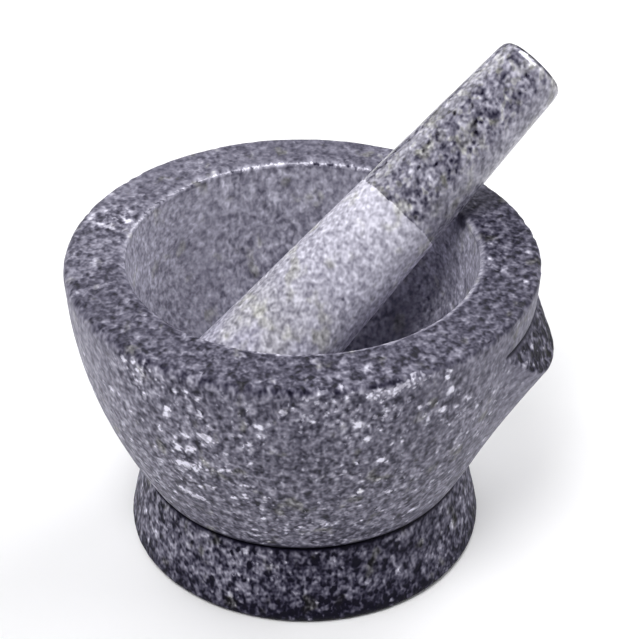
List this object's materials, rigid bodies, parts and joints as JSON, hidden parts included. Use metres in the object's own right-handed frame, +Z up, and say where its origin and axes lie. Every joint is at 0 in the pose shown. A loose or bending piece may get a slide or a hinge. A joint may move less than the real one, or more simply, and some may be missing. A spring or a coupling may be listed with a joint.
{
  "type": "mortar and pestle",
  "caption": "Footed granite mortar with a hemispherical bowl, a flat rim and carved side lugs, and its ball-ended tapered pestle leaning in the bowl.",
  "frame": {"origin": "centre of the mortar foot's flat underside, on the bowl's upright axis", "axes": "+Z up along the bowl's axis; the two carved lugs lie along +X and -X; at rest the pestle leans up and out over the rim, 50.5 degrees round from +X towards +Y"},
  "size_m": [0.218, 0.2003, 0.2051],
  "materials": {
    "mortar_granite": "matte",
    "pestle_granite": "satin"
  },
  "bodies": {
    "mortar": {"mortar": "mortar_granite"},
    "pestle": {"pestle": "pestle_granite"}
  },
  "joints": [
    {"name": "pestle_lift", "type": "slide", "parent": "mortar", "child": "pestle", "axis": [0, 0, 1], "range_m": [0, 0.15]}
  ]
}
